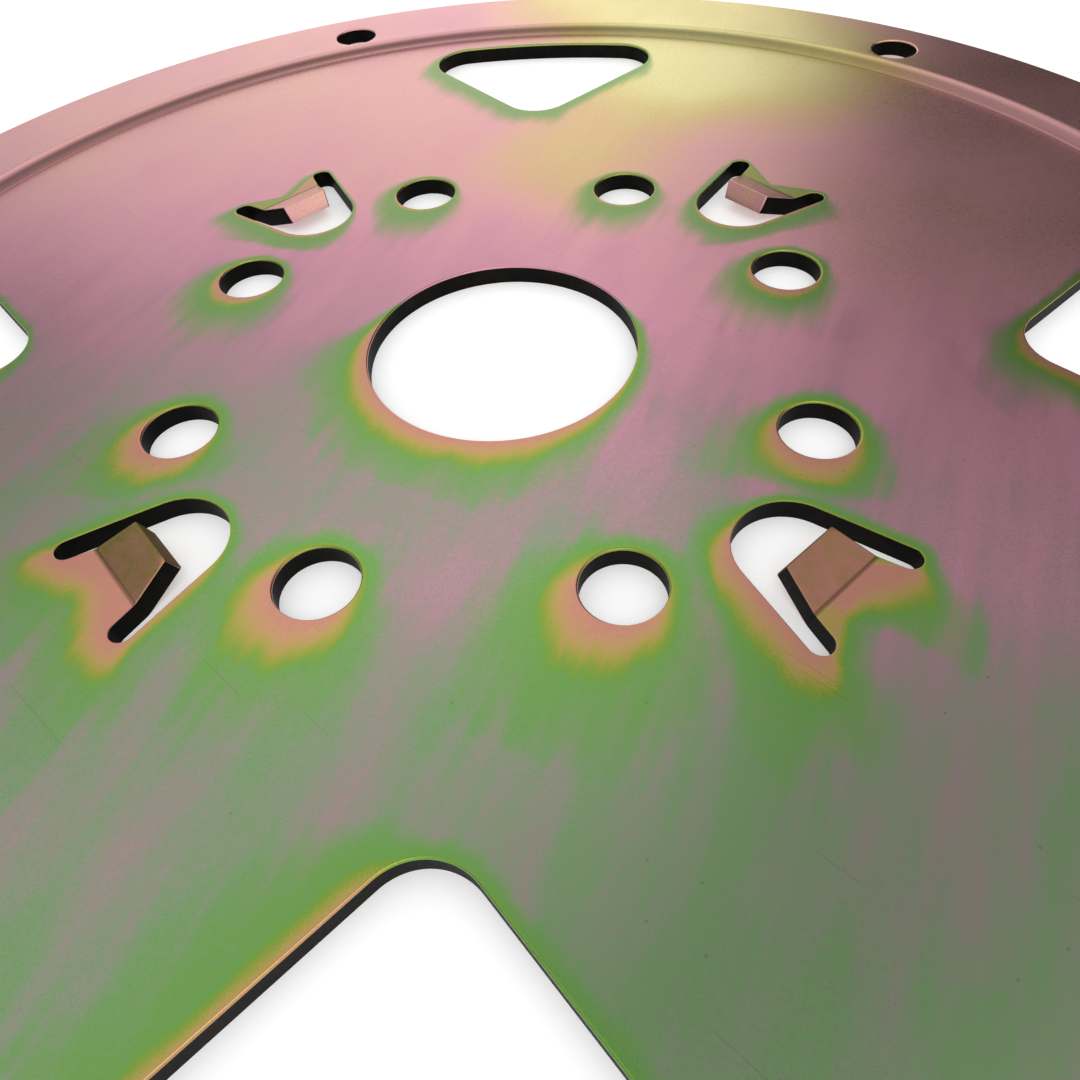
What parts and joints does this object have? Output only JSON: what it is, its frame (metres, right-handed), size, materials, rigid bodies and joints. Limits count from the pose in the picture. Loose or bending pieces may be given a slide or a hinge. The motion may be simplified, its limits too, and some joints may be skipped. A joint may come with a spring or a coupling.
{
  "type": "flexplate",
  "caption": "Round stamped steel drive plate that couples a crankshaft to a torque converter, with a raised rim flange, windows and lanced tabs.",
  "frame": {"origin": "centre of the pilot bore, on the lower face that the plate lies on", "axes": "+Z along the crankshaft axis, up through the raised side; +Y through the middle of one window"},
  "size_m": [0.261, 0.261, 0.005],
  "materials": {
    "plated_steel": "yellow zinc chromate over sheet steel, satin, with pink, green and gold iridescence"
  },
  "bodies": {
    "root": {"flexplate": "plated_steel"}
  },
  "joints": []
}
